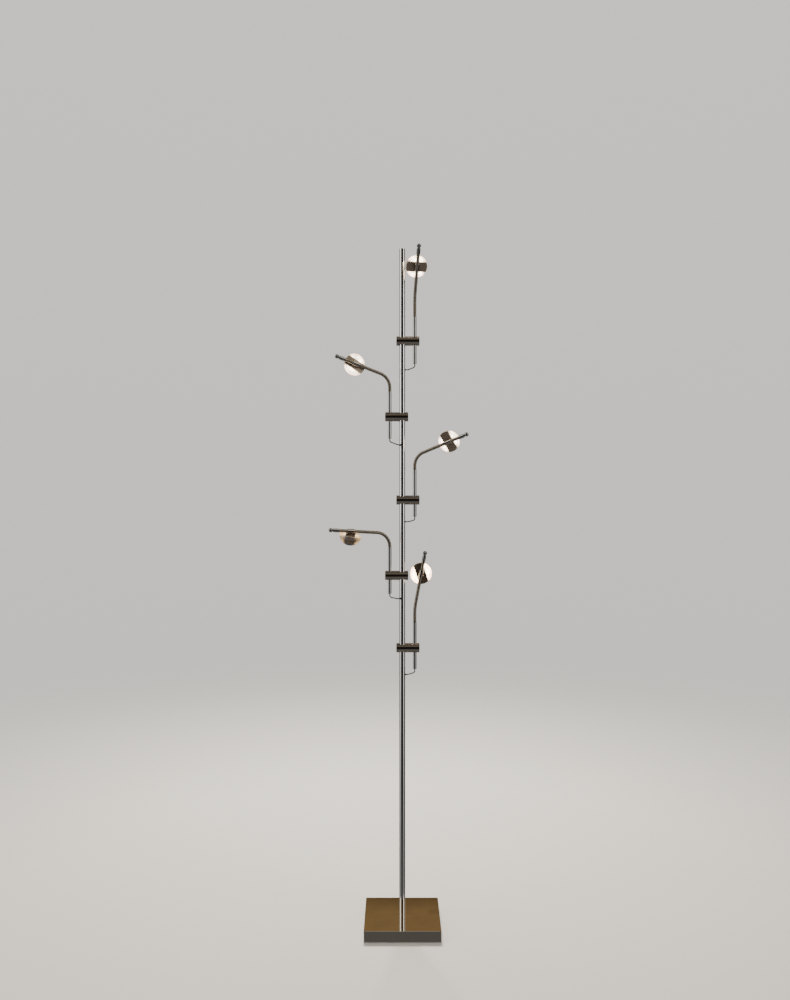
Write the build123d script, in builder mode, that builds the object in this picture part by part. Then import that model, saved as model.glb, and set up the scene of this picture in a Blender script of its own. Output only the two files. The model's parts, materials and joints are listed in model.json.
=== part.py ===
from build123d import *
import os
from math import cos, pi, radians, sin, tan

# Tree floor lamp: a square base, one slim pole and five arms. Each arm is a rigid stem held in a
# round clamp, a flexible ribbed neck, and a glass lens head that hangs on a collar near the tip.
# Millimetres. The origin is on the floor under the pole, +X is right, +Y is towards the wall.

os.makedirs("parts", exist_ok=True)

# ---------------------------------------------------------------- base
BASE_SIDE = 200.0
BASE_PLATE_THICK = 28.5
BASE_EDGE_BREAK = 0.6
PAD_THICK = 1.5
PAD_INSET = 4.0
PAD_CORNER = 6.0
POLE_POCKET_DEPTH = 6.0
NUT_POCKET_RADIUS = 19.0
NUT_POCKET_DEPTH = 20.0
CABLE_CHANNEL_WIDTH = 8.0
CABLE_CHANNEL_DEPTH = 9.0

# ---------------------------------------------------------------- pole
POLE_RADIUS = 8.0
POLE_WALL = 1.2
POLE_TOP = 1812.0
CAP_THICK = 1.4
CAP_PLUG_LENGTH = 9.0
CAP_EDGE_BREAK = 0.4
FIT = 0.05            # radial clearance of a part that seats or turns in another
SEAT_GAP = 0.3        # gap between curved faces that only lie side by side

# ---------------------------------------------------------------- foot fixing and cable
INSERT_LENGTH = 22.0
NIPPLE_RADIUS = 5.0
NIPPLE_BORE = 3.4
NIPPLE_TAIL = 0.5     # how far the nipple shows below its nut
NUT_ACROSS_FLATS = 17.0
NUT_THICK = 4.0
WASHER_RADIUS = 14.0
WASHER_THICK = 1.6
CABLE_RADIUS = 2.0
CABLE_BEND = 8.0
CABLE_LEVEL = 7.5     # the gland's and the cable's axis above the floor
GLAND_RADIUS = 4.5
GLAND_FLANGE_RADIUS = 6.0
GLAND_FLANGE_THICK = 2.0
GLAND_LENGTH = 14.0

# ---------------------------------------------------------------- clamps
CLAMP_RADIUS = 12.5
CLAMP_POLE_END = 16.0   # from the pole's axis to the clamp's inner end
ARM_SPACING = 33.5      # from the pole's axis to the stem's axis
CLAMP_STEM_END = 12.5   # from the stem's axis to the clamp's outer end
CLAMP_EDGE_BREAK = 0.8
SCREW_RADIUS = 2.4
SCREW_RECESS = 0.7      # how deep a set screw sits below the clamp's skin
SCREW_SOCKET = 2.5      # across flats
SCREW_SOCKET_DEPTH = 1.8
GROOVE_DEPTH = 0.4      # the stem's groove, where its set screw's tip runs
GROOVE_WIDTH = 5.4
TIP_GAP = 0.1

# ---------------------------------------------------------------- arm
STEM_RADIUS = 5.0
STEM_WALL = 1.0
STEM_LENGTH = 125.0
STEM_NOSE_LENGTH = 3.0
STEM_NOSE_BREAK = 1.2
ARM_LENGTH = 328.0      # along the arm, from the lead's corner to the knob's end
LEAD_RADIUS = 1.5
LEAD_DROP = 9.0         # from the stem's nose to the lead's level run
LEAD_INSIDE_STEM = 14.0
LEAD_CORNER_BEND = 6.5
LEAD_ENTRY_BEND = 5.0
LEAD_ENTRY_RUN = 7.0    # straight run in front of the pole's hole
LEAD_INSIDE_POLE = 4.0
GROMMET_RADIUS = 2.3
GROMMET_FLANGE = 3.1
GROMMET_FLANGE_THICK = 0.8

# ---------------------------------------------------------------- ribbed neck
NECK_CREST = 4.5
NECK_ROOT = 4.1
NECK_BORE = 2.6
NECK_PLUG_LENGTH = 12.0
NECK_PLAIN_END = 9.0    # the neck runs plain for one diameter at each end
RIB_COUNT = 40
RIB_CREST_SHARE = 0.45  # the share of one pitch that a crest takes
RIB_FLANK_SHARE = 0.18

# ---------------------------------------------------------------- end knob
FERRULE_RADIUS = 5.2
FERRULE_LENGTH = 13.0
KNOB_NECK_RADIUS = 3.6
KNOB_NECK_LENGTH = 1.6
KNOB_RADIUS = 5.8
KNOB_FLAT_RADIUS = 1.8

# ---------------------------------------------------------------- lens head
HEAD_FROM_TIP = 62.0
COLLAR_RADIUS = 6.2
COLLAR_LENGTH = 20.0
COLLAR_EDGE_BREAK = 0.6
COLLAR_BORE_GAP = 0.1
BOSS_RADIUS = 6.0
BOSS_HEIGHT = 0.6       # how far the boss's face stands off the collar
BAR_LENGTH = 57.0
BAR_WIDTH = 25.5
BAR_THICK = 4.2
BAR_EDGE = 0.8
BAR_GAP = 0.2           # running gap between the boss and the bar
STUD_RADIUS = 2.5
STUD_FLANGE_RADIUS = 4.2
STUD_FLANGE_THICK = 0.7
STUD_BORE = 1.4
LED_RADIUS = 8.0
LED_THICK = 1.1
LED_CHIP_RADIUS = 3.2
LED_CHIP_HEIGHT = 0.3
LED_SLOT = 0.1
LENS_RADIUS = 29.0
LENS_EDGE = 2.5
LENS_SAG = 25.0

# Each arm, from the top down. side is +1 on the right and -1 on the left. down is the clamp's
# distance below the pole's top, drop the lead's corner below the clamp and rise the neck's upright
# run above the stem. The neck bends on a radius of bend. lean is its angle from upright, swing turns
# the arm towards the viewer, roll turns the head about the arm, spin turns the bar about the lens's
# axis and entry is the lead hole's place round the pole, entry_fall below the lead's corner.
ARMS = [
    dict(side=1, down=247.0, drop=70.0, rise=36.0, bend=90.0, lean=25.0, swing=80.0,
         roll=90.0, spin=90.0, entry=0.0, entry_fall=7.0),
    dict(side=-1, down=450.0, drop=67.0, rise=11.1, bend=38.0, lean=72.6, swing=22.9,
         roll=0.0, spin=11.6, entry=45.0, entry_fall=9.0),
    dict(side=1, down=673.0, drop=53.8, rise=11.1, bend=38.0, lean=70.2, swing=25.3,
         roll=15.0, spin=83.0, entry=0.0, entry_fall=4.5),
    dict(side=-1, down=875.0, drop=58.5, rise=1.6, bend=38.0, lean=86.4, swing=20.5,
         roll=-73.0, spin=112.0, entry=45.0, entry_fall=3.0),
    dict(side=1, down=1069.0, drop=66.0, rise=24.7, bend=150.0, lean=10.5, swing=0.0,
         roll=0.0, spin=-28.0, entry=0.0, entry_fall=5.5),
]

PLATE_TOP = PAD_THICK + BASE_PLATE_THICK
POLE_FOOT = PLATE_TOP - POLE_POCKET_DEPTH
POLE_BORE = POLE_RADIUS - POLE_WALL
WASHER_TOP = PAD_THICK + NUT_POCKET_DEPTH
NUT_TOP = WASHER_TOP - WASHER_THICK
NIPPLE_FOOT = NUT_TOP - NUT_THICK - NIPPLE_TAIL
UP = Vector(0, 0, 1)


def save(piece, name):
    """Label a finished piece and write it."""
    piece.part.label = name
    export_step(piece.part, f"parts/{name}.step")


class ArmFrame:
    """The places and directions of one arm, worked out from its row in ARMS."""

    def __init__(self, arm):
        self.side = arm["side"]
        self.clamp_z = POLE_TOP - arm["down"]
        self.stem = Vector(self.side * ARM_SPACING, 0, self.clamp_z)
        swing = radians(arm["swing"])
        self.lean = radians(arm["lean"])
        self.bend = arm["bend"]
        self.out = Vector(self.side * cos(swing), -sin(swing), 0)
        self.reach = self.out * sin(self.lean) + UP * cos(self.lean)
        self.bend_axis = UP.cross(self.out)
        self.lead_z = self.clamp_z - arm["drop"]
        self.nose_z = self.lead_z + LEAD_DROP
        self.stem_top = self.nose_z + STEM_LENGTH
        self.upright = arm["rise"]
        self.tangent = self.bend * tan(self.lean / 2)
        self.corner = Vector(self.stem.X, 0, self.stem_top + self.upright + self.tangent)
        arc = self.bend * self.lean
        beyond = ARM_LENGTH - LEAD_DROP - STEM_LENGTH - self.upright - arc
        self.tip = self.corner + self.reach * (self.tangent + beyond)
        self.head = self.tip - self.reach * HEAD_FROM_TIP
        ferrule = FERRULE_LENGTH + KNOB_NECK_LENGTH + 2 * KNOB_RADIUS
        self.neck_length = self.upright + arc + beyond - ferrule
        side_ways = Vector(self.side * sin(swing), cos(swing), 0)
        lifted = UP * sin(self.lean) - self.out * cos(self.lean)
        roll = radians(arm["roll"])
        self.light = side_ways * cos(roll) + lifted * sin(roll)
        spin = radians(arm["spin"])
        self.bar = self.reach * cos(spin) + self.light.cross(self.reach) * sin(spin)
        entry = radians(arm["entry"])
        self.entry = Vector(self.side * cos(entry), -sin(entry), 0)
        self.hole_z = self.lead_z - arm["entry_fall"]

    def neck_plane(self, along):
        """The plane across the neck, a distance above the stem's top, with a steady X axis."""
        turned = along - self.upright
        arc = self.bend * self.lean
        if turned <= 0:
            point = Vector(self.stem.X, self.stem.Y, self.stem_top + along)
            heading = UP
        elif turned <= arc:
            angle = turned / self.bend
            start = self.corner - UP * self.tangent
            point = start + self.out * self.bend * (1 - cos(angle)) + UP * self.bend * sin(angle)
            heading = self.out * sin(angle) + UP * cos(angle)
        else:
            point = self.corner + self.reach * (self.tangent + turned - arc)
            heading = self.reach
        return Plane(origin=point, x_dir=self.bend_axis, z_dir=heading)

    def head_plane(self, depth=0.0):
        """The plane across the light's axis, a depth from the arm's axis, with X along the bar."""
        return Plane(origin=self.head + self.light * depth, x_dir=self.bar, z_dir=self.light)


# Depths along the light's axis, from the arm's axis to the lens.
BOSS_FACE = COLLAR_RADIUS + BOSS_HEIGHT
BAR_TOP = BOSS_FACE + BAR_GAP
BAR_FACE = BAR_TOP + BAR_THICK
LENS_FACE = BAR_FACE + FIT
LED_FACE = BAR_FACE - LED_SLOT - LED_CHIP_HEIGHT
LED_TOP = LED_FACE - LED_THICK
FLANGE_FACE = LED_TOP - LED_SLOT
RECESS_TOP = FLANGE_FACE - STUD_FLANGE_THICK - LED_SLOT


def make_base_plate():
    with BuildPart() as plate:
        with BuildSketch(Plane.XY.offset(PAD_THICK)):
            Rectangle(BASE_SIDE, BASE_SIDE)
        extrude(amount=BASE_PLATE_THICK)
        chamfer(plate.edges(), BASE_EDGE_BREAK)
        with BuildSketch(Plane.XY.offset(POLE_FOOT)):
            Circle(POLE_RADIUS + FIT)
        extrude(amount=POLE_POCKET_DEPTH, mode=Mode.SUBTRACT)
        with BuildSketch(Plane.XY.offset(PAD_THICK)):
            Circle(NIPPLE_RADIUS + FIT)
        extrude(amount=BASE_PLATE_THICK, mode=Mode.SUBTRACT)
        with BuildSketch(Plane.XY.offset(PAD_THICK)):
            Circle(NUT_POCKET_RADIUS)
        extrude(amount=NUT_POCKET_DEPTH, mode=Mode.SUBTRACT)
        gland_start = BASE_SIDE / 2 - GLAND_LENGTH
        with BuildSketch(Plane.XY.offset(PAD_THICK)):
            with Locations((0, gland_start / 2)):
                Rectangle(CABLE_CHANNEL_WIDTH, gland_start)
        extrude(amount=CABLE_CHANNEL_DEPTH, mode=Mode.SUBTRACT)
        with BuildSketch(Plane(origin=(0, gland_start, CABLE_LEVEL), z_dir=(0, 1, 0))):
            Circle(GLAND_RADIUS + FIT)
        extrude(amount=GLAND_LENGTH, mode=Mode.SUBTRACT)
    save(plate, "base_plate")


def make_base_pad():
    with BuildPart() as pad:
        with BuildSketch():
            RectangleRounded(BASE_SIDE - 2 * PAD_INSET, BASE_SIDE - 2 * PAD_INSET, PAD_CORNER)
        extrude(amount=PAD_THICK)
    save(pad, "base_pad")


def make_pole(frames):
    with BuildPart() as pole:
        with BuildSketch(Plane.XY.offset(POLE_FOOT)):
            Circle(POLE_RADIUS)
            Circle(POLE_BORE, mode=Mode.SUBTRACT)
        extrude(amount=POLE_TOP - CAP_THICK - POLE_FOOT)
        for frame in frames:
            start = frame.entry * (POLE_BORE - POLE_WALL) + UP * frame.hole_z
            with BuildSketch(Plane(origin=start, z_dir=frame.entry)):
                Circle(GROMMET_RADIUS + FIT)
            extrude(amount=4 * POLE_WALL, mode=Mode.SUBTRACT)
    save(pole, "pole")


def make_pole_cap():
    with BuildPart() as cap:
        with BuildSketch(Plane.XY.offset(POLE_TOP - CAP_THICK)):
            Circle(POLE_RADIUS)
        extrude(amount=CAP_THICK)
        chamfer(cap.edges().group_by(Axis.Z)[-1], CAP_EDGE_BREAK)
        with BuildSketch(Plane.XY.offset(POLE_TOP - CAP_THICK - CAP_PLUG_LENGTH)):
            Circle(POLE_BORE - FIT)
        extrude(amount=CAP_PLUG_LENGTH)
    save(cap, "pole_cap")


def make_foot_insert():
    with BuildPart() as insert:
        with BuildSketch(Plane.XY.offset(POLE_FOOT)):
            Circle(POLE_BORE - FIT)
            Circle(NIPPLE_RADIUS + FIT, mode=Mode.SUBTRACT)
        extrude(amount=INSERT_LENGTH)
    save(insert, "foot_insert")


def make_foot_fixing():
    """The hollow nipple, its washer and its nut, which pull the pole down into the base."""
    with BuildPart() as fixing:
        with BuildSketch(Plane.XY.offset(NIPPLE_FOOT)):
            Circle(NIPPLE_RADIUS)
            Circle(NIPPLE_BORE, mode=Mode.SUBTRACT)
        extrude(amount=POLE_FOOT + INSERT_LENGTH - NIPPLE_FOOT)
        with BuildSketch(Plane.XY.offset(NUT_TOP)):
            Circle(WASHER_RADIUS)
            Circle(NIPPLE_RADIUS + FIT, mode=Mode.SUBTRACT)
        extrude(amount=WASHER_THICK)
        with BuildSketch(Plane.XY.offset(NUT_TOP - NUT_THICK)):
            RegularPolygon(NUT_ACROSS_FLATS / 2, 6, major_radius=False)
            Circle(NIPPLE_RADIUS + FIT, mode=Mode.SUBTRACT)
        extrude(amount=NUT_THICK - FIT)
    save(fixing, "foot_fixing")


def make_cable_gland():
    inner_end = Plane(origin=(0, BASE_SIDE / 2 - GLAND_LENGTH, CABLE_LEVEL), z_dir=(0, 1, 0))
    with BuildPart() as gland:
        with BuildSketch(inner_end):
            Circle(GLAND_RADIUS)
        extrude(amount=GLAND_LENGTH + FIT)
        with BuildSketch(inner_end.offset(GLAND_LENGTH + FIT)):
            Circle(GLAND_FLANGE_RADIUS)
        extrude(amount=GLAND_FLANGE_THICK)
        chamfer(gland.edges().group_by(Axis.Y)[-1], CAP_EDGE_BREAK)
        with BuildSketch(inner_end):
            Circle(CABLE_RADIUS + SEAT_GAP)
        extrude(amount=2 * GLAND_LENGTH, mode=Mode.SUBTRACT)
    save(gland, "cable_gland")


def make_inner_cable(frames):
    """The lead inside the lamp: from the gland along the base's channel and up the pole."""
    back = BASE_SIDE / 2 - GLAND_LENGTH - SEAT_GAP
    top = frames[0].hole_z
    level = CABLE_LEVEL
    with BuildPart() as cable:
        with BuildLine():
            FilletPolyline((0, back, level), (0, 0, level), (0, 0, top), radius=CABLE_BEND)
        with BuildSketch(Plane(origin=(0, back, level), z_dir=(0, -1, 0))):
            Circle(CABLE_RADIUS)
        sweep()
    save(cable, "inner_cable")


def make_clamp(frame, name):
    inner = -frame.side * CLAMP_POLE_END
    along = Vector(frame.side, 0, 0)
    length = CLAMP_POLE_END + ARM_SPACING + CLAMP_STEM_END
    with BuildPart() as clamp:
        with BuildSketch(Plane(origin=(inner, 0, frame.clamp_z), z_dir=along)):
            Circle(CLAMP_RADIUS)
        extrude(amount=length)
        chamfer(clamp.edges().filter_by(GeomType.CIRCLE), CLAMP_EDGE_BREAK)
        with BuildSketch(Plane.XY.offset(frame.clamp_z)):
            Circle(POLE_RADIUS + FIT)
            with Locations((frame.stem.X, 0)):
                Circle(STEM_RADIUS + FIT)
        extrude(amount=CLAMP_RADIUS, both=True, mode=Mode.SUBTRACT)
        for x in (0, frame.stem.X):
            with BuildSketch(Plane(origin=(x, 0, frame.clamp_z), z_dir=(0, 1, 0))):
                Circle(SCREW_RADIUS + FIT)
            extrude(amount=CLAMP_RADIUS, mode=Mode.SUBTRACT)
    save(clamp, name)


def make_clamp_screws(frames):
    """Two set screws at the back of each clamp: one bites on the pole, one runs in the stem's groove."""
    outer = CLAMP_RADIUS - SCREW_RECESS
    with BuildPart() as screws:
        for frame in frames:
            for x, tip in ((0, POLE_RADIUS), (frame.stem.X, STEM_RADIUS - GROOVE_DEPTH)):
                start = tip + TIP_GAP
                with BuildSketch(Plane(origin=(x, start, frame.clamp_z), z_dir=(0, 1, 0))):
                    Circle(SCREW_RADIUS)
                extrude(amount=outer - start)
                with BuildSketch(Plane(origin=(x, outer - SCREW_SOCKET_DEPTH, frame.clamp_z),
                                       z_dir=(0, 1, 0))):
                    RegularPolygon(SCREW_SOCKET / 2, 6, major_radius=False)
                extrude(amount=SCREW_SOCKET_DEPTH, mode=Mode.SUBTRACT)
    save(screws, "clamp_screws")


def make_lead_grommets(frames):
    with BuildPart() as grommets:
        for frame in frames:
            centre = UP * frame.hole_z
            with BuildSketch(Plane(origin=centre + frame.entry * POLE_BORE, z_dir=frame.entry)):
                Circle(GROMMET_RADIUS)
            extrude(amount=POLE_WALL + FIT)
            with BuildSketch(Plane(origin=centre + frame.entry * (POLE_RADIUS + FIT), z_dir=frame.entry)):
                Circle(GROMMET_FLANGE)
            extrude(amount=GROMMET_FLANGE_THICK)
            with BuildSketch(Plane(origin=centre + frame.entry * POLE_BORE, z_dir=frame.entry)):
                Circle(LEAD_RADIUS + FIT)
            extrude(amount=POLE_RADIUS, mode=Mode.SUBTRACT)
    save(grommets, "lead_grommets")


def make_stem(frame, name):
    """A drawn tube with a rounded nose, turned about the stem's axis."""
    bore = STEM_RADIUS - STEM_WALL
    nose_bore = LEAD_RADIUS + SEAT_GAP
    foot = frame.nose_z
    groove_low = frame.clamp_z - GROOVE_WIDTH / 2
    groove_high = frame.clamp_z + GROOVE_WIDTH / 2
    groove = STEM_RADIUS - GROOVE_DEPTH
    with BuildPart() as stem:
        with BuildSketch(Plane(origin=(frame.stem.X, 0, 0), x_dir=(1, 0, 0), z_dir=(0, -1, 0))):
            with BuildLine():
                Polyline((nose_bore, foot), (STEM_RADIUS - STEM_NOSE_BREAK, foot),
                         (STEM_RADIUS, foot + STEM_NOSE_BREAK), (STEM_RADIUS, groove_low),
                         (groove, groove_low), (groove, groove_high), (STEM_RADIUS, groove_high),
                         (STEM_RADIUS, frame.stem_top), (bore, frame.stem_top),
                         (bore, foot + STEM_NOSE_LENGTH), (nose_bore, foot + STEM_NOSE_LENGTH),
                         close=True)
            make_face()
        revolve(axis=Axis((frame.stem.X, 0, 0), (0, 0, 1)))
    save(stem, name)


def make_lead(frame, name):
    """The short lead from the stem's nose to the hole in the pole, swept along its whole route."""
    level = frame.lead_z
    top = frame.nose_z + LEAD_INSIDE_STEM
    hole = UP * frame.hole_z
    approach = hole + frame.entry * (POLE_RADIUS + LEAD_ENTRY_RUN)
    inside = hole + frame.entry * LEAD_INSIDE_POLE
    corner = Vector(frame.stem.X, 0, level)
    start = Vector(frame.stem.X, 0, top)
    with BuildPart() as lead:
        with BuildLine() as route:
            FilletPolyline(start, corner, approach, inside, radius=[LEAD_CORNER_BEND, LEAD_ENTRY_BEND])
        with BuildSketch(Plane(origin=start, z_dir=(0, 0, -1))):
            Circle(LEAD_RADIUS)
        sweep()
    length = sum(edge.length for edge in route.edges())
    share = lead.part.volume / (length * pi * LEAD_RADIUS ** 2)
    print(f"{name}: length {length:.1f} mm, volume over section times length {share:.4f}")
    save(lead, name)


def rib_profile(length):
    """Stations along the neck and the radius at each: four circles for each rib, clear of both ends."""
    ribbed = length - 2 * NECK_PLAIN_END
    pitch = ribbed / RIB_COUNT
    flank = pitch * RIB_FLANK_SHARE
    crest = pitch * RIB_CREST_SHARE
    lead_in = (pitch - crest - 2 * flank) / 2
    rows = []
    for index in range(RIB_COUNT):
        start = NECK_PLAIN_END + index * pitch + lead_in
        rows.append((start, NECK_ROOT))
        rows.append((start + flank, NECK_CREST))
        rows.append((start + flank + crest, NECK_CREST))
        rows.append((start + 2 * flank + crest, NECK_ROOT))
    return rows


def make_neck(frame, name):
    """The flexible neck: a ruled loft through four circles for each rib, with its bore."""
    plug = STEM_RADIUS - STEM_WALL - FIT
    length = frame.neck_length
    with BuildPart() as neck:
        with BuildSketch(frame.neck_plane(-NECK_PLUG_LENGTH)):
            Circle(plug)
        with BuildSketch(frame.neck_plane(0)):
            Circle(plug)
        loft(ruled=True)
        with BuildSketch(frame.neck_plane(0)):
            Circle(NECK_ROOT)
        for station, radius in rib_profile(length):
            with BuildSketch(frame.neck_plane(station)):
                Circle(radius)
        with BuildSketch(frame.neck_plane(length)):
            Circle(NECK_ROOT)
        loft(ruled=True)
        with BuildSketch(frame.neck_plane(length)):
            Circle(plug)
        extrude(amount=NECK_PLUG_LENGTH - FIT)
        start = frame.neck_plane(-NECK_PLUG_LENGTH)
        with BuildLine():
            FilletPolyline(start.origin, frame.corner, frame.neck_plane(length + NECK_PLUG_LENGTH).origin,
                           radius=frame.bend)
        with BuildSketch(start):
            Circle(NECK_BORE)
        sweep(mode=Mode.SUBTRACT)
    save(neck, name)


def make_knob(frame, name):
    """The neck's end: a ferrule that the neck plugs into, a thin throat and a ball with a flat."""
    bore = STEM_RADIUS - STEM_WALL
    throat = FERRULE_LENGTH + KNOB_NECK_LENGTH
    centre = throat + KNOB_RADIUS
    drop = (KNOB_RADIUS ** 2 - KNOB_NECK_RADIUS ** 2) ** 0.5
    flat = (KNOB_RADIUS ** 2 - KNOB_FLAT_RADIUS ** 2) ** 0.5
    base = frame.neck_plane(frame.neck_length)
    profile = Plane(origin=base.origin, x_dir=base.x_dir, z_dir=base.x_dir.cross(base.z_dir))
    with BuildPart() as knob:
        with BuildSketch(profile):
            with BuildLine():
                Polyline((0, NECK_PLUG_LENGTH), (bore, NECK_PLUG_LENGTH), (bore, FIT),
                         (FERRULE_RADIUS, FIT), (FERRULE_RADIUS, FERRULE_LENGTH),
                         (KNOB_NECK_RADIUS, FERRULE_LENGTH), (KNOB_NECK_RADIUS, centre - drop))
                ThreePointArc((KNOB_NECK_RADIUS, centre - drop), (KNOB_RADIUS, centre),
                              (KNOB_FLAT_RADIUS, centre + flat))
                Polyline((KNOB_FLAT_RADIUS, centre + flat), (0, centre + flat),
                         (0, NECK_PLUG_LENGTH))
            make_face()
        revolve(axis=Axis(base.origin, base.z_dir))
    save(knob, name)


def make_collar(frame, name):
    """The sleeve that turns on the neck, with the boss that the lens bar hangs from."""
    end = frame.head - frame.reach * (COLLAR_LENGTH / 2)
    with BuildPart() as collar:
        with BuildSketch(Plane(origin=end, x_dir=frame.light, z_dir=frame.reach)):
            Circle(COLLAR_RADIUS)
        extrude(amount=COLLAR_LENGTH)
        chamfer(collar.edges().filter_by(GeomType.CIRCLE), COLLAR_EDGE_BREAK)
        with BuildSketch(Plane(origin=frame.head, x_dir=frame.reach, z_dir=frame.light)):
            Circle(BOSS_RADIUS)
        extrude(amount=BOSS_FACE)
        with BuildSketch(Plane(origin=frame.head, x_dir=frame.reach, z_dir=frame.light)):
            Circle(STUD_RADIUS + FIT)
        extrude(amount=BOSS_FACE, mode=Mode.SUBTRACT)
        with BuildSketch(Plane(origin=end, x_dir=frame.light, z_dir=frame.reach)):
            Circle(NECK_CREST + COLLAR_BORE_GAP)
        extrude(amount=COLLAR_LENGTH, mode=Mode.SUBTRACT)
    save(collar, name)


def make_stud(frame, name):
    """The hollow pivot stud: its shank holds in the collar's boss and its flange carries the bar."""
    root = NECK_CREST + 2 * COLLAR_BORE_GAP
    with BuildPart() as stud:
        with BuildSketch(frame.head_plane(root)):
            Circle(STUD_RADIUS)
        extrude(amount=FLANGE_FACE - root)
        with BuildSketch(frame.head_plane(FLANGE_FACE - STUD_FLANGE_THICK)):
            Circle(STUD_FLANGE_RADIUS)
        extrude(amount=STUD_FLANGE_THICK)
        with BuildSketch(frame.head_plane(root)):
            Circle(STUD_BORE)
        extrude(amount=FLANGE_FACE - root, mode=Mode.SUBTRACT)
    save(stud, name)


def make_bar(frame, name):
    """The polished bar across the lens, its ends cut to the lens's round."""
    with BuildPart() as bar:
        with BuildSketch(frame.head_plane(BAR_TOP)):
            Rectangle(BAR_LENGTH, BAR_WIDTH)
            Circle(BAR_LENGTH / 2, mode=Mode.INTERSECT)
        extrude(amount=BAR_THICK)
        chamfer(bar.edges().filter_by_position(Axis(frame.head, frame.light), BAR_TOP - FIT, BAR_TOP + FIT),
                BAR_EDGE)
        with BuildSketch(frame.head_plane(BAR_TOP)):
            Circle(STUD_RADIUS + FIT)
        extrude(amount=BAR_THICK, mode=Mode.SUBTRACT)
        with BuildSketch(frame.head_plane(RECESS_TOP)):
            Circle(LED_RADIUS + FIT)
        extrude(amount=BAR_FACE - RECESS_TOP, mode=Mode.SUBTRACT)
    save(bar, name)


def make_led(frame, name):
    with BuildPart() as led:
        with BuildSketch(frame.head_plane(LED_TOP)):
            Circle(LED_RADIUS)
        extrude(amount=LED_THICK)
        with BuildSketch(frame.head_plane(LED_FACE)):
            Circle(LED_CHIP_RADIUS)
        extrude(amount=LED_CHIP_HEIGHT)
    save(led, name)


def make_lens(frame, name):
    """Solid glass dome: a flat face against the bar, a short rim and a round crown."""
    ball = (LENS_RADIUS ** 2 + LENS_SAG ** 2) / (2 * LENS_SAG)
    rim = LENS_FACE + LENS_EDGE
    crown = rim + LENS_SAG
    middle = crown - ball
    half = (LENS_RADIUS * 0.5, middle + (ball ** 2 - (LENS_RADIUS * 0.5) ** 2) ** 0.5)
    profile = Plane(origin=frame.head, x_dir=frame.bar, z_dir=frame.bar.cross(frame.light))
    with BuildPart() as lens:
        with BuildSketch(profile):
            with BuildLine():
                Polyline((0, crown), (0, LENS_FACE), (LENS_RADIUS, LENS_FACE), (LENS_RADIUS, rim))
                ThreePointArc((LENS_RADIUS, rim), half, (0, crown))
            make_face()
        revolve(axis=Axis(frame.head, frame.light))
    save(lens, name)


FRAMES = [ArmFrame(arm) for arm in ARMS]
make_base_plate()
make_base_pad()
make_pole(FRAMES)
make_pole_cap()
make_foot_insert()
make_foot_fixing()
make_cable_gland()
make_inner_cable(FRAMES)
make_clamp_screws(FRAMES)
make_lead_grommets(FRAMES)
for number, arm_frame in enumerate(FRAMES, start=1):
    make_clamp(arm_frame, f"clamp_{number}")
    make_stem(arm_frame, f"arm_{number}_stem")
    make_lead(arm_frame, f"arm_{number}_lead")
    make_neck(arm_frame, f"arm_{number}_neck")
    make_knob(arm_frame, f"arm_{number}_knob")
    make_collar(arm_frame, f"head_{number}_collar")
    make_stud(arm_frame, f"head_{number}_stud")
    make_bar(arm_frame, f"head_{number}_bar")
    make_led(arm_frame, f"head_{number}_led")
    make_lens(arm_frame, f"head_{number}_lens")
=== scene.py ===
import json

import bpy
import numpy as np
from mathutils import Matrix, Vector


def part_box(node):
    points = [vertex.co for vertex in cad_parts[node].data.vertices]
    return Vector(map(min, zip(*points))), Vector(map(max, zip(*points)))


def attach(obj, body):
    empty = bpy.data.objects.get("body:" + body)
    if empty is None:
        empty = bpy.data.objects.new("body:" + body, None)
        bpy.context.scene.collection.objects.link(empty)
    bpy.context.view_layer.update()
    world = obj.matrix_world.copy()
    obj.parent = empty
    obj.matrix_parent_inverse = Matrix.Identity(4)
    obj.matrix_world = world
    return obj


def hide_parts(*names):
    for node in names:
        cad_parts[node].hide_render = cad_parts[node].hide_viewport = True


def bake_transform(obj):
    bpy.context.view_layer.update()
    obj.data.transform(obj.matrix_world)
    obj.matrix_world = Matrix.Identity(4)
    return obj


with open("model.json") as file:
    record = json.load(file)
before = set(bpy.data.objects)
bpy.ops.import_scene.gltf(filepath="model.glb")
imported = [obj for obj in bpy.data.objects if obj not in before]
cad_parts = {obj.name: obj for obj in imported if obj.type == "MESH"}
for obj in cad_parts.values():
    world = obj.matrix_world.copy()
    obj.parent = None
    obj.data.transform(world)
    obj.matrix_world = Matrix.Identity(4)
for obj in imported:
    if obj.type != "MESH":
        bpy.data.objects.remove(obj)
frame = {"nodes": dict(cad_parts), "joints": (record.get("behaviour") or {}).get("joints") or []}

bl_info = {
    "name": "Tree Floor Lamp",
    "version": (1, 0, 0),
    "blender": (4, 5, 0),
    "location": "View3D > Sidebar > Lamp",
    "description": "Dresses the tree floor lamp: ribbed necks, glass lenses and polished metal",
    "category": "Object",
}

ARMS = range(1, 6)
MM = 0.001
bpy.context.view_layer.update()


# ---------------------------------------------------------------- places read from the frame
def joint(name):
    """The frame's joint of that name."""
    return next(j for j in frame["joints"] if j["name"] == name)


def unit(v):
    """v scaled to length one."""
    return v / np.linalg.norm(v)


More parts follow.
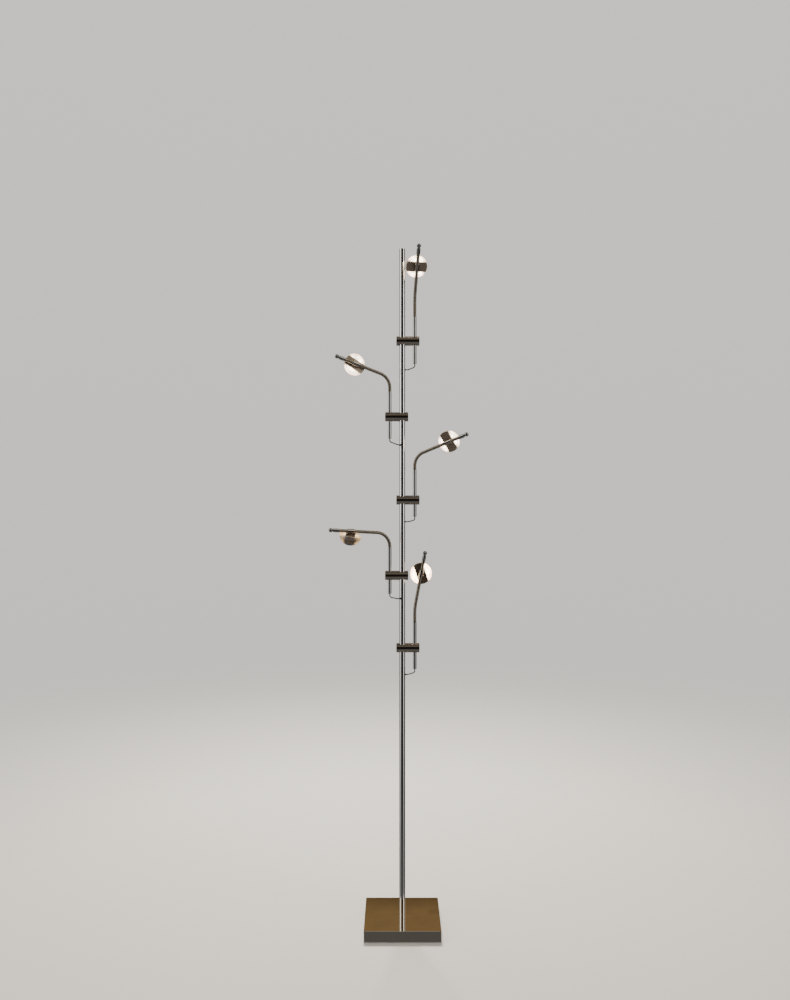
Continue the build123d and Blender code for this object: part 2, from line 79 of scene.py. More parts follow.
class ArmPath:
    """The centre line of one neck: upright, one arc about the bend's axis, then straight."""

    def __init__(self, number, bend, knob_length, tip_from_head):
        stem_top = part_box(f"arm_{number}_stem")[1][2]
        bend_joint = joint(f"arm_{number}_bend")
        roll_joint = joint(f"head_{number}_roll")
        self.up = np.array((0.0, 0.0, 1.0))
        self.corner = np.array(bend_joint["pos_m"])
        self.axis = unit(np.array(bend_joint["axis"]))
        self.reach = unit(np.array(roll_joint["axis"]))
        self.out = np.cross(self.axis, self.up)
        self.lean = float(np.arccos(self.reach @ self.up))
        self.bend = bend
        self.tangent = bend * np.tan(self.lean / 2)
        self.foot = np.array((self.corner[0], self.corner[1], stem_top))
        self.upright = self.corner[2] - self.tangent - self.foot[2]
        self.arc = bend * self.lean
        tip = np.array(roll_joint["pos_m"]) + self.reach * (tip_from_head - knob_length)
        self.straight = float(np.linalg.norm(tip - self.corner)) - self.tangent
        self.length = self.upright + self.arc + self.straight

    def at(self, along):
        """Centre points and headings at distances above the stem's top: the line rises straight,
        turns by distance over radius along the arc, and goes on along the reach."""
        along = np.asarray(along, float)
        turn = np.clip((along - self.upright) / self.bend, 0, self.lean)[:, None]
        rise = np.minimum(along, self.upright)[:, None]
        beyond = np.maximum(along - self.upright - self.arc, 0)[:, None]
        arc = self.out * (1 - np.cos(turn)) + self.up * np.sin(turn)
        points = self.foot + self.up * rise + arc * self.bend + self.reach * beyond
        headings = self.out * np.sin(turn) + self.up * np.cos(turn)
        return points, headings


# ---------------------------------------------------------------- surfaces
def grid_mesh(name, points, close_start=True):
    """A closed tube from rings of points (ring, around, xyz): quads between neighbouring rings, and
    one polygon over each end ring. The first end may stay open."""
    rings, around = points.shape[:2]
    ring = np.arange(rings - 1)[:, None] * around
    k = np.arange(around)[None, :]
    nxt = (k + 1) % around
    quads = np.stack((ring + k, ring + nxt, ring + around + nxt, ring + around + k), axis=-1)
    faces = quads.reshape(-1, 4).tolist()
    if close_start:
        faces.append(list(range(around))[::-1])
    faces.append(list(range((rings - 1) * around, rings * around)))
    mesh = bpy.data.meshes.new(name)
    mesh.from_pydata(points.reshape(-1, 3).tolist(), [], faces)
    mesh.update()
    return mesh


def add_piece(name, mesh, material):
    """Put a mesh into the scene as a smooth piece with one material."""
    piece = bpy.data.objects.new(name, mesh)
    bpy.context.scene.collection.objects.link(piece)
    mesh.materials.append(material)
    mesh.polygons.foreach_set("use_smooth", np.full(len(mesh.polygons), True))
    mesh.update()
    return piece


def tube_points(path, along, radius, around):
    """Rings round a path: point(s, a) = centre(s) + radius(s, a) * (x cos a + y sin a), where x is
    the bend's axis and y completes the frame with the heading."""
    centres, headings = path.at(along)
    angle = np.linspace(0, 2 * np.pi, around, endpoint=False)
    x = path.axis[None, :]
    y = np.cross(headings, x)
    ring = x[:, None, :] * np.cos(angle)[None, :, None] + y[:, None, :] * np.sin(angle)[None, :, None]
    return centres[:, None, :] + ring * radius[:, :, None]


def turned_points(origin, axis, across, profile, around):
    """A surface of revolution: point(i, a) = origin + axis * height(i) + radius(i) * direction(a)."""
    angle = np.linspace(0, 2 * np.pi, around, endpoint=False)
    side = np.cross(axis, across)
    ring = across[None, :] * np.cos(angle)[:, None] + side[None, :] * np.sin(angle)[:, None]
    height = profile[:, 0][:, None, None]
    radius = profile[:, 1][:, None, None]
    return origin[None, None, :] + axis[None, None, :] * height + ring[None, :, :] * radius


# ---------------------------------------------------------------- shader groups
def new_group(name, inputs, outputs):
    """An empty shader group with named sockets: inputs are (name, type, default), outputs (name, type)."""
    group = bpy.data.node_groups.new(name, "ShaderNodeTree")
    for label, kind, default in inputs:
        socket = group.interface.new_socket(label, in_out="INPUT", socket_type=kind)
        socket.default_value = default
    for label, kind in outputs:
        group.interface.new_socket(label, in_out="OUTPUT", socket_type=kind)
    return group, group.nodes.new("NodeGroupInput"), group.nodes.new("NodeGroupOutput")


def link(tree, a, b):
    """Join an output socket to an input socket."""
    tree.links.new(a, b)


def object_place(tree):
    """The socket that gives the place on the piece itself."""
    return tree.nodes.new("ShaderNodeTexCoord").outputs["Object"]


def vector_node(tree, operation, *vectors):
    """A vector math node on one or two sockets."""
    node = tree.nodes.new("ShaderNodeVectorMath")
    node.operation = operation
    for index, vector in enumerate(vectors):
        link(tree, vector, node.inputs[index])
    return node


def math_node(tree, operation, a, b=None):
    """A math node on two sockets or numbers."""
    node = tree.nodes.new("ShaderNodeMath")
    node.operation = operation
    for index, value in enumerate((a, b)):
        if value is None:
            continue
        if isinstance(value, (int, float)):
            node.inputs[index].default_value = value
        else:
            link(tree, value, node.inputs[index])
    return node.outputs[0]


def ramp(tree, fac, low, high, a=0.0, b=1.0):
    """Map fac from low..high to a..b, clamped."""
    node = tree.nodes.new("ShaderNodeMapRange")
    node.clamp = True
    link(tree, fac, node.inputs["Value"])
    node.inputs["From Min"].default_value = low
    node.inputs["From Max"].default_value = high
    node.inputs["To Min"].default_value = a
    node.inputs["To Max"].default_value = b
    return node.outputs["Result"]


def mix_colour(tree, fac, a, b):
    """Blend two colours (sockets or tuples) by fac."""
    node = tree.nodes.new("ShaderNodeMix")
    node.data_type = "RGBA"
    link(tree, fac, node.inputs["Factor"])
    for socket, value in ((node.inputs[6], a), (node.inputs[7], b)):
        if isinstance(value, tuple):
            socket.default_value = (*value, 1.0) if len(value) == 3 else value
        else:
            link(tree, value, socket)
    return node.outputs[2]


def noise(tree, vector, scale, detail=3.0, rough=0.5):
    """A noise field from none to one, with so many turns a metre."""
    node = tree.nodes.new("ShaderNodeTexNoise")
    link(tree, vector, node.inputs["Vector"])
    node.inputs["Scale"].default_value = scale
    node.inputs["Detail"].default_value = detail
    node.inputs["Roughness"].default_value = rough
    return node.outputs["Fac"]


# Turns a metre of the plating's cloudy drift, of its wipe marks and of its specks.
CLOUD_SCALE, WIPE_SCALE, SPECK_SCALE = 22.0, 900.0, 260.0
# The roughness that the wipe marks add, and the specks' and wipe marks' shares of the height.
WIPE_ROUGHNESS = 0.012
SPECK_HEIGHT, WIPE_HEIGHT = 0.6, 0.4
# The dot of the bevelled and the true normal, from a plain edge to one fully brightened by wear and a
# painted highlight.
EDGE_DOT = (0.995, 0.90)


def polish_group():
    """Polished plating: colour that drifts a little, smudges and fine wipe marks in the roughness,
    and a tiny orange-peel height."""
    name = "Polished plating"
    if name in bpy.data.node_groups:
        return bpy.data.node_groups[name]
    colour, number, vector = "NodeSocketColor", "NodeSocketFloat", "NodeSocketVector"
    group, src, out = new_group(
        name,
        [("Colour", colour, (0.6, 0.58, 0.55, 1)), ("Dark", colour, (0.5, 0.47, 0.43, 1)),
         ("Roughness", number, 0.07), ("Smudge", number, 0.08),
         ("Grain Stretch", vector, (1.0, 1.0, 0.06))],
        [("Colour", colour), ("Roughness", number), ("Height", number)])
    place = object_place(group)
    stretched = vector_node(group, "MULTIPLY", place, src.outputs["Grain Stretch"]).outputs[0]
    cloud = noise(group, place, CLOUD_SCALE, 4.0, 0.55)
    wipe = noise(group, stretched, WIPE_SCALE, 2.0, 0.6)
    speck = noise(group, place, SPECK_SCALE, 2.0, 0.5)
    drift = ramp(group, cloud, 0.35, 0.7)
    link(group, mix_colour(group, drift, src.outputs["Colour"], src.outputs["Dark"]), out.inputs["Colour"])
    smudge = math_node(group, "MULTIPLY", ramp(group, cloud, 0.45, 0.75), src.outputs["Smudge"])
    fine = ramp(group, wipe, 0.3, 0.8, 0.0, WIPE_ROUGHNESS)
    rough = math_node(group, "ADD", src.outputs["Roughness"], smudge)
    link(group, math_node(group, "ADD", rough, fine), out.inputs["Roughness"])
    height = math_node(group, "ADD", math_node(group, "MULTIPLY", speck, SPECK_HEIGHT),
                       math_node(group, "MULTIPLY", wipe, WIPE_HEIGHT))
    link(group, height, out.inputs["Height"])
    return group


def edge_group():
    """A mask that is one on sharp outer edges, from the bevelled normal against the true one."""
    name = "Edge mask"
    if name in bpy.data.node_groups:
        return bpy.data.node_groups[name]
    group, src, out = new_group(name, [("Radius", "NodeSocketFloat", 1.2 * MM)],
                                [("Mask", "NodeSocketFloat")])
    bevel = group.nodes.new("ShaderNodeBevel")
    bevel.samples = 4
    link(group, src.outputs["Radius"], bevel.inputs["Radius"])
    true = group.nodes.new("ShaderNodeNewGeometry").outputs["Normal"]
    dot = vector_node(group, "DOT_PRODUCT", bevel.outputs["Normal"], true).outputs["Value"]
    link(group, ramp(group, dot, *EDGE_DOT), out.inputs["Mask"])
    return group


def new_material(name):
    """A material with only its Principled shader and output, its tree and that shader."""
    material = bpy.data.materials.new(name)
    material.use_nodes = True
    tree = material.node_tree
    shader = tree.nodes["Principled BSDF"]
    return material, tree, shader


def place_group(tree, group, **values):
    """Place a shader group, with a value for each input (an underscore stands for a space)."""
    node = tree.nodes.new("ShaderNodeGroup")
    node.node_tree = group
    for label, value in values.items():
        node.inputs[label.replace("_", " ")].default_value = value
    return node


def bump(tree, height, strength, distance):
    """The normal of a surface with a fine height on it."""
    node = tree.nodes.new("ShaderNodeBump")
    node.inputs["Strength"].default_value = strength
    node.inputs["Distance"].default_value = distance
    link(tree, height, node.inputs["Height"])
    return node.outputs["Normal"]


def shade(colour, share):
    """A colour times a share."""
    return tuple(c * share for c in colour)


ALONG_UP = (1.0, 1.0, 0.06)     # wipe marks that run up the piece
ALONG_X = (0.05, 1.0, 1.0)      # wipe marks that run from side to side
ALONG_Y = (1.0, 0.05, 1.0)      # wipe marks that run from front to back
EVEN = (1.0, 1.0, 1.0)          # no direction
# Colour of brightened edges: partly wear, partly a painted edge highlight.
EDGE_WEAR_AND_HIGHLIGHT = (0.74, 0.70, 0.64)
EDGE_MASK_RADIUS = 0.8 * MM
POLISH_BUMP, POLISH_DEPTH = 0.02, 0.06 * MM


def polished(tree, shader, colour, dark, roughness, smudge, stretch):
    """Put the shared plating into a metal: its colour with the drift to a darker share of it, and its
    roughness. Gives the group's node and its colour, which the caller joins to Base Color."""
    polish = place_group(tree, polish_group(), Colour=(*colour, 1), Dark=(*shade(colour, dark), 1),
                         Roughness=roughness, Smudge=smudge, Grain_Stretch=stretch)
    link(tree, polish.outputs["Roughness"], shader.inputs["Roughness"])
    shader.inputs["Metallic"].default_value = 1.0
    return polish, polish.outputs["Colour"]


def plated(name, colour, dark, roughness, smudge, stretch=ALONG_UP, bump_strength=POLISH_BUMP, edge_wear_and_highlight=False):
    """A polished plated metal from the shared group, brighter along its sharp edges if asked, partly by
    wear and partly by a painted edge highlight.
    """
    material, tree, shader = new_material(name)
    polish, surface = polished(tree, shader, colour, dark, roughness, smudge, stretch)
    if edge_wear_and_highlight:
        edge = place_group(tree, edge_group(), Radius=EDGE_MASK_RADIUS)
        surface = mix_colour(tree, edge.outputs["Mask"], surface, EDGE_WEAR_AND_HIGHLIGHT)
    link(tree, surface, shader.inputs["Base Color"])
    link(tree, bump(tree, polish.outputs["Height"], bump_strength, POLISH_DEPTH), shader.inputs["Normal"])
    return material


def moulded(name, colour, roughness, grain_scale):
    """A satin moulded plastic or sleeve with fine grain, a little lighter in clouds."""
    material, tree, shader = new_material(name)
    place = object_place(tree)
    grain = noise(tree, place, grain_scale)
    cloud = noise(tree, place, grain_scale * 0.05)
    lighter = tuple(min(1.0, c * 1.8 + 0.01) for c in colour)
    clouded = mix_colour(tree, ramp(tree, cloud, 0.35, 0.75), colour, lighter)
    link(tree, clouded, shader.inputs["Base Color"])
    link(tree, ramp(tree, grain, 0.2, 0.8, roughness - 0.08, roughness + 0.1), shader.inputs["Roughness"])
    link(tree, bump(tree, grain, 0.25, 0.1 * MM), shader.inputs["Normal"])
    return material


def dress(nodes, material):
    """Give CAD nodes one material."""
    for name in nodes:
        data = frame["nodes"][name].data
        data.materials.clear()
        data.materials.append(material)


def on_arms(pattern):
    """The CAD node of that name on each arm, from the top down."""
    return [pattern.format(n) for n in ARMS]


# ---------------------------------------------------------------- settings
class LampNeckSettings(bpy.types.PropertyGroup):
    """Sizes of the wound necks and how they bend"""
    pitch: bpy.props.FloatProperty(
        name="Winding pitch", description="Distance from one turn of the neck's winding to the next",
        default=2.6 * MM, min=1 * MM, unit="LENGTH")
    roundness: bpy.props.FloatProperty(
        name="Turn roundness", description="Power of the turns' outline: 1 is a plain wave, less is fuller",
        default=0.55, subtype="FACTOR")
    crest: bpy.props.FloatProperty(
        name="Crest radius", description="Radius over the neck's turns", default=4.5 * MM, unit="LENGTH")
    root: bpy.props.FloatProperty(
        name="Root radius", description="Radius at the bottom of the grooves", default=4.05 * MM,
        unit="LENGTH")
    plain: bpy.props.FloatProperty(
        name="Plain end", description="Length of the plain sleeve at each end", default=6 * MM,
        unit="LENGTH")
    plug: bpy.props.FloatProperty(
        name="Plug radius", description="Radius where the neck plugs into stem and knob",
        default=3.95 * MM, unit="LENGTH")
    plug_length: bpy.props.FloatProperty(
        name="Plug length", description="How far the neck goes into the stem and the knob",
        default=11.5 * MM, unit="LENGTH")
    knob_length: bpy.props.FloatProperty(
        name="Knob length", description="Length of ferrule, throat and ball", default=26.2 * MM,
        unit="LENGTH")
    tip_from_head: bpy.props.FloatProperty(
        name="Tip from head", description="From the head's collar to the knob's end",
        default=62 * MM, unit="LENGTH")
    collar_room: bpy.props.FloatProperty(
        name="Collar room", description="Length at the neck's far end that stays straight when it bends",
        default=52 * MM, unit="LENGTH")
    rise: bpy.props.FloatProperty(
        name="Bend rise", description="Share of the neck's upright run that bends", default=0.95,
        subtype="FACTOR")
    spread: bpy.props.FloatProperty(
        name="Bend spread", default=1.4, subtype="FACTOR",
        description="Length that bends past the corner, as a share of the length that bends below it")
    bends: bpy.props.FloatVectorProperty(
        name="Bend radii", description="Radius of each neck's bend, from the top arm down", size=5,
        default=(90 * MM, 38 * MM, 38 * MM, 38 * MM, 150 * MM), unit="LENGTH")
    around: bpy.props.IntProperty(
        name="Points around", description="Points in each ring", default=32, min=8)
    per_turn: bpy.props.IntProperty(
        name="Rings per turn", description="Rings for each turn of the winding", default=10, min=4)


class LampLensSettings(bpy.types.PropertyGroup):
    """Sizes of the glass lenses and the light in them"""
    radius: bpy.props.FloatProperty(
        name="Lens radius", description="Radius of the lens's rim", default=28.9 * MM, unit="LENGTH")
    rim: bpy.props.FloatProperty(
        name="Rim height", description="Height of the straight rim", default=2.5 * MM, unit="LENGTH")
    sag: bpy.props.FloatProperty(
        name="Crown height", description="Height of the crown above the rim", default=24.9 * MM,
        unit="LENGTH")
    corner: bpy.props.FloatProperty(
        name="Rim corner", description="Rounding of the rim's two corners", default=0.7 * MM, unit="LENGTH")
    face: bpy.props.FloatProperty(
        name="Face depth", description="From the neck's axis to the lens's flat face",
        default=11.28 * MM, unit="LENGTH")
    # The glow is painted light: emission on the glass, which is no lamp, in place of the chip's light in
    # it.
    glow: bpy.props.FloatProperty(
        name="Glow", description="Strength of the light that the glass carries", default=10.0, min=0.0)
    chip: bpy.props.FloatProperty(
        name="Chip brightness", description="Strength of the lit chip", default=40.0, min=0.0)
    warm: bpy.props.FloatVectorProperty(
        name="Light colour", description="Colour of the lit chip", subtype="COLOR", size=3,
        default=(1.0, 0.86, 0.66), min=0.0, max=1.0)
    dim: bpy.props.FloatProperty(
        name="Dim chip", description="The dimmer lamp's chip, as a share of the others", default=0.03,
        min=0.0, subtype="FACTOR")
    around: bpy.props.IntProperty(
        name="Points around", description="Points in each ring", default=96, min=8)
    crown_steps: bpy.props.IntProperty(
        name="Crown rings", description="Rings from the rim to the top of the crown", default=48, min=4)
    face_steps: bpy.props.IntProperty(
        name="Face rings", description="Rings on the flat face", default=24, min=4)


class LampFinishSettings(bpy.types.PropertyGroup):
    """Colours of the lamp's finishes"""
    nickel: bpy.props.FloatVectorProperty(
        name="Nickel", description="Colour of the polished pole", subtype="COLOR", size=3,
        default=(0.66, 0.64, 0.61), min=0.0, max=1.0)
    # The stems' share is painted shade: the pole's nickel darkened so the stems read dark.
    stem: bpy.props.FloatProperty(
        name="Stem shade", description="The stems' plating, as a share of the nickel", default=0.60,
        subtype="FACTOR")
    # The knobs' share is painted shade: the pole's nickel darkened where the knobs would reflect the bright
    # ceiling.
    knob: bpy.props.FloatProperty(
        name="Knob shade", description="The knobs' plating, as a share of the nickel", default=0.30,
        subtype="FACTOR")
    # The base's colour is partly its plating and partly a painted warm reflection, an amber sheen kept in
    # its colour.
    base: bpy.props.FloatVectorProperty(
        name="Base", description="Colour of the base's plating", subtype="COLOR", size=3,
        default=(0.62, 0.56, 0.47), min=0.0, max=1.0)
    clamp: bpy.props.FloatVectorProperty(
        name="Clamp", description="Colour of the clamps", subtype="COLOR", size=3,
        default=(0.23, 0.205, 0.175), min=0.0, max=1.0)
    neck: bpy.props.FloatVectorProperty(
        name="Neck", description="Colour of the wound necks", subtype="COLOR", size=3,
        default=(0.205, 0.18, 0.142), min=0.0, max=1.0)
    bar: bpy.props.FloatVectorProperty(
        name="Bar", description="Colour of the bars across the lenses", subtype="COLOR", size=3,
        default=(0.32, 0.25, 0.185), min=0.0, max=1.0)
    steel: bpy.props.FloatVectorProperty(
        name="Steel", description="Colour of the screws and the foot's fixings", subtype="COLOR", size=3,
        default=(0.50, 0.50, 0.50), min=0.0, max=1.0)
    pad: bpy.props.FloatVectorProperty(
        name="Pad", description="Colour of the base's pad", subtype="COLOR", size=3,
        default=(0.03, 0.03, 0.03), min=0.0, max=1.0)
    moulding: bpy.props.FloatVectorProperty(
        name="Moulding", description="Colour of the cable gland and the grommets", subtype="COLOR", size=3,
        default=(0.02, 0.02, 0.02), min=0.0, max=1.0)
    sleeve: bpy.props.FloatVectorProperty(
        name="Sleeve", description="Colour of the leads' sleeves", subtype="COLOR", size=3,
        default=(0.018, 0.015, 0.013), min=0.0, max=1.0)


class LampStageSettings(bpy.types.PropertyGroup):
    """The floor, the studio's light and the camera"""
    floor: bpy.props.FloatVectorProperty(
        name="Floor", description="Colour of the floor", subtype="COLOR", size=3,
        default=(0.74, 0.72, 0.675), min=0.0, max=1.0)
    backdrop: bpy.props.FloatVectorProperty(
        name="Backdrop", description="Colour behind the lamp", subtype="COLOR", size=3,
        default=(0.80, 0.78, 0.735), min=0.0, max=1.0)
    fade: bpy.props.FloatProperty(
        name="Fade start", description="Distance at which the floor starts to fade", default=1.2,
        unit="LENGTH")
    edge: bpy.props.FloatProperty(
        name="Floor radius", description="Distance at which the floor is gone", default=4.2, unit="LENGTH")
    low_sky: bpy.props.FloatProperty(
        name="Low sky", description="Strength of the warm light that the base's top reflects", default=0.25,
        min=0.0)
    amber: bpy.props.FloatVectorProperty(
        name="Low sky colour", description="Colour of that warm light", subtype="COLOR", size=3,
        default=(1.0, 0.66, 0.31), min=0.0, max=1.0)
    fill: bpy.props.FloatProperty(
        name="Fill", description="Share of the studio's light that falls on matt surfaces", default=0.35,
        min=0.0, max=1.0)
    near_ground: bpy.props.FloatProperty(
        name="Near ground glow", description="Strength of the floor's light in upright surfaces",
        default=0.09, min=0.0)
    ceiling: bpy.props.FloatProperty(
        name="Ceiling", description="Strength of the bright ceiling", default=0.75, min=0.0)
    ground: bpy.props.FloatProperty(
        name="Ground glow", description="Strength of the light that comes up from the floor in reflections",
        default=0.38, min=0.0)
    dark: bpy.props.FloatProperty(
        name="Dark side", description="Strength of the dark between the lights", default=0.035, min=0.0)
    eye: bpy.props.FloatVectorProperty(
        name="Camera place", description="Where the camera stands", subtype="XYZ", size=3,
        default=(-0.0195, -2.45, 1.139), unit="LENGTH")
    focal: bpy.props.FloatProperty(
        name="Focal length in pixels", default=914.0,
        description="The photograph's focal length, for its 1000 pixel height")
    power: bpy.props.FloatProperty(
        name="Light power", description="Power of the soft light, in watts", default=190.0, min=0.0,
        unit="POWER")


class TreeLampSettings(bpy.types.PropertyGroup):
    """All settings of the lamp"""
    neck: bpy.props.PointerProperty(type=LampNeckSettings, name="Neck", description="The wound necks")
    lens: bpy.props.PointerProperty(type=LampLensSettings, name="Lens", description="The glass lenses")
    finish: bpy.props.PointerProperty(type=LampFinishSettings, name="Finish", description="The finishes")
    stage: bpy.props.PointerProperty(
        type=LampStageSettings, name="Stage", description="The floor, the light and the camera")


def settings():
    """The scene's settings of this lamp."""
    return bpy.context.scene.tree_lamp


# ---------------------------------------------------------------- necks
def winding(along, angle, length, props):
    """Radius of the neck: a plain sleeve at each end and, between them, rounded turns that climb
    one pitch each time round: root + (crest - root) * |sin(pi * (s / pitch - a / 2 pi))| ** roundness."""
    phase = along[:, None] / props.pitch - angle[None, :] / (2 * np.pi)
    turns = props.root + (props.crest - props.root) * np.abs(np.sin(np.pi * phase)) ** props.roundness
    run_out = props.pitch / 2
    from_low = np.clip((along - props.plain) / run_out, 0, 1)
    from_high = np.clip((length - props.plain - along) / run_out, 0, 1)
    sleeve = np.full_like(turns, props.crest)
    return sleeve + (turns - sleeve) * (from_low * from_high)[:, None]


def neck_mesh(number, path, props):
    """The wound neck as one closed tube: tube_points with the winding's radius, and a narrower plug
    at each end, inside the stem and inside the knob."""
    along = np.linspace(0, path.length, int(path.length / props.pitch * props.per_turn))
    angle = np.linspace(0, 2 * np.pi, props.around, endpoint=False)
    body = tube_points(path, along, winding(along, angle, path.length, props), props.around)
    plug = np.full((2, props.around), props.plug)
    low = tube_points(path, np.array([-props.plug_length, 0.0]), plug, props.around)
    high = tube_points(path, np.array([path.length, path.length + props.plug_length]), plug, props.around)
    return grid_mesh(f"neck_{number}", np.concatenate((low, body, high), axis=0))


class LAMP_OT_necks(bpy.types.Operator):
    """Make the five wound necks, each curving round its arm's bend joint"""
    bl_idname = "lamp.necks"
    bl_label = "Necks"

    def execute(self, context):
        props = settings().neck
        material = plated("wound_neck", tuple(settings().finish.neck), 0.78, 0.14, 0.05, EVEN, 0.05)
        for number in ARMS:
            path = ArmPath(number, props.bends[number - 1], props.knob_length, props.tip_from_head)
            piece = add_piece(f"wound_neck_{number}", neck_mesh(number, path, props), material)
            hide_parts(f"arm_{number}_neck")
            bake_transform(piece)
        return {"FINISHED"}


# ---------------------------------------------------------------- lenses
def lens_profile(props):
    """(height, radius) from the middle of the flat face out, round the rim and over the crown, which
    is part of a ball of radius (r^2 + h^2) / 2h. Also how many of the rows lie on the flat face."""
    r, h, c, base = props.radius, props.sag, props.corner, props.face
    middle = 0.02 * MM  # radius of the closed middle of the face and of the crown
    ball = (r * r + h * h) / (2 * h)
    low = np.linspace(0, np.pi / 2, 6)
    lower = np.stack((base + c - c * np.cos(low), r - c + c * np.sin(low)), axis=1)
    angle = np.linspace(np.arcsin(r / ball), 0, props.crown_steps)
    crown = np.stack((base + props.rim + h - ball * (1 - np.cos(angle)), ball * np.sin(angle)), axis=1)
    face = np.stack((np.full(props.face_steps, base), np.linspace(middle, r - c, props.face_steps)), axis=1)
    top = np.array([[crown[-1, 0], middle]])
    return np.concatenate((face, lower[1:], crown[:-1], top), axis=0), len(face)


# Bells of the painted glow that the glass emits, though it is no lamp: the share of the radius where each
# is full, its width and its strength.
BESIDE_BAR, NEAR_RIM, CROWN_FLANK = (0.50, 0.20, 1.0), (0.90, 0.035, 0.30), (0.86, 0.16, 0.5)
# The painted glow that is left in the bar's painted shadow.
SHADOW_LIGHT = 0.04
# Square of the sine of the turn from the bar, from full painted shadow to full painted glow.
SHADOW_EDGE = (0.12, 0.55)
# Shares of the radius between which the bar's painted image, a painted shade, fades out from the crown's
# middle.
APEX = (0.7, 0.5)


def bell(share, centre, width, strength):
    """strength * exp(-((share - centre) / width) ** 2)."""
    return strength * np.exp(-((share - centre) / width) ** 2)


def clear_share(turn):
    """How clear of the bar's painted shadow the glass is, by its turn from the bar: a smooth step from none
    to all while the square of the turn's sine crosses the painted shadow's edge."""
    low, high = SHADOW_EDGE
    step = np.clip((np.sin(turn) ** 2 - low) / (high - low), 0, 1)
    return step * step * (3 - 2 * step)


def carried_light(share, on_face, turn):
    """How much painted glow the glass emits, by its share of the radius and its turn from the bar: a broad
    bell beside the bar and a thin one near the rim on the flat face, and a bell on the crown's
    flank, all times the clear share, so a painted shadow of the bar darkens the glass along it."""
    level = np.where(on_face, bell(share, *BESIDE_BAR) + bell(share, *NEAR_RIM), bell(share, *CROWN_FLANK))
    return level[:, None] * (SHADOW_LIGHT + (1 - SHADOW_LIGHT) * clear_share(turn))[None, :]


def smoke(share, on_face, turn):
    """How dark the bar's painted image, a painted shade, makes the glass: on the crown, the larger of one
    less the clear share and a fall from one to none between the apex shares of the radius."""
    outer, inner = APEX
    apex = np.clip((outer - share) / (outer - inner), 0, 1)
    shadow = np.maximum((1 - clear_share(turn))[None, :], apex[:, None])
    return np.where(on_face[:, None], 0.0, shadow)


# PAINTED_BAR_SHADE_COLOUR is painted shade: the glass's colour where the bar's image is painted in.
CLEAR, PAINTED_BAR_SHADE_COLOUR = (0.99, 0.99, 0.985), (0.10, 0.09, 0.085)
# Tones of the painted glow on the glass.
CREAM, ROSE, AMBER = (1.0, 0.875, 0.66), (0.62, 0.34, 0.27), (1.0, 0.58, 0.18)
GLASS_IOR = 1.52


def glass_material(props):
    """Clear polished glass with a painted glow, an emission in place of the chip's light in it: cream
    beside the bar, rose at the rim, amber on a lens whose lamp is dimmer, in painted bright spots. The
    bar's painted image, a painted shade, darkens it."""
    material, tree, shader = new_material("lens_glass")
    shader.inputs["Metallic"].default_value = 0.0
    shader.inputs["Transmission Weight"].default_value = 1.0
    shader.inputs["IOR"].default_value = GLASS_IOR
    masks = {}
    for label in ("from_axis", "carried", "amber", "smoke"):
        node = tree.nodes.new("ShaderNodeAttribute")
        node.attribute_name = label
        masks[label] = node.outputs["Fac"]
    place = object_place(tree)
    haze = noise(tree, place, 160.0)
    link(tree, ramp(tree, haze, 0.3, 0.8, 0.0, 0.02), shader.inputs["Roughness"])
    # Painted shade: the bar's painted image darkens the glass's colour.
    link(tree, mix_colour(tree, masks["smoke"], CLEAR, PAINTED_BAR_SHADE_COLOUR), shader.inputs["Base Color"])
    # The painted glow's tone: cream, rose towards the rim, amber on the dimmer lamp's lens.
    warmth = mix_colour(tree, ramp(tree, masks["from_axis"], 0.80, 0.95), CREAM, ROSE)
    tone = mix_colour(tree, masks["amber"], warmth, AMBER)
    # Painted glints: patchy bright spots in the painted glow.
    painted_glow_spots = ramp(tree, noise(tree, place, 75.0, 2.0), 0.38, 0.62, 0.25, 1.6)
    level = math_node(tree, "MULTIPLY", masks["carried"], painted_glow_spots)
    link(tree, mix_colour(tree, level, (0.0, 0.0, 0.0), tone), shader.inputs["Emission Color"])
    shader.inputs["Emission Strength"].default_value = props.glow
    return material


# For each head, from the top down: how strongly its glass's painted glow shines, how amber that glow
# looks, how much the bar's painted shade darkens it, and the bar's turn from the arm, in degrees.
HEADS = ((0.85, 0.0, 0.3, 90.0), (0.60, 0.05, 0.3, 11.6), (0.80, 0.0, 0.3, 83.0), (0.12, 0.9, 1.0, 112.0),
         (1.3, 0.35, 0.2, -28.0))
DIM_HEAD = 4


class LAMP_OT_lenses(bpy.types.Operator):
    """Make the five glass lenses as smooth turned domes"""
    bl_idname = "lamp.lenses"
    bl_label = "Lenses"

    def execute(self, context):
        props = settings().lens
        material = glass_material(props)
        profile, face_rows = lens_profile(props)
        share = profile[:, 1] / props.radius
        on_face = np.arange(len(share)) < face_rows
        angle = np.linspace(0, 2 * np.pi, props.around, endpoint=False)
        # glow and amber set each lens's painted glow, and dark sets its painted bar shade.
        for number, (glow, amber, dark, turn) in zip(ARMS, HEADS):
            spin = joint(f"head_{number}_spin")
            roll = joint(f"head_{number}_roll")
            points = turned_points(np.array(spin["pos_m"]), unit(np.array(spin["axis"])),
                                   unit(np.array(roll["axis"])), profile, props.around)
            mesh = grid_mesh(f"lens_{number}", points)
            from_bar = angle - np.radians(turn)
            carried = carried_light(share, on_face, from_bar) * glow
            layers = {
                "from_axis": np.broadcast_to(share[:, None], carried.shape),
                "carried": carried,
                "amber": np.full_like(carried, amber),
                "smoke": smoke(share, on_face, from_bar) * dark,
            }
            for label, values in layers.items():
                layer = mesh.attributes.new(label, "FLOAT", "POINT")
                layer.data.foreach_set("value", values.ravel().astype(np.float32))
            piece = add_piece(f"glass_lens_{number}", mesh, material)
            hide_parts(f"head_{number}_lens")
            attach(piece, f"head_{number}")
        return {"FINISHED"}


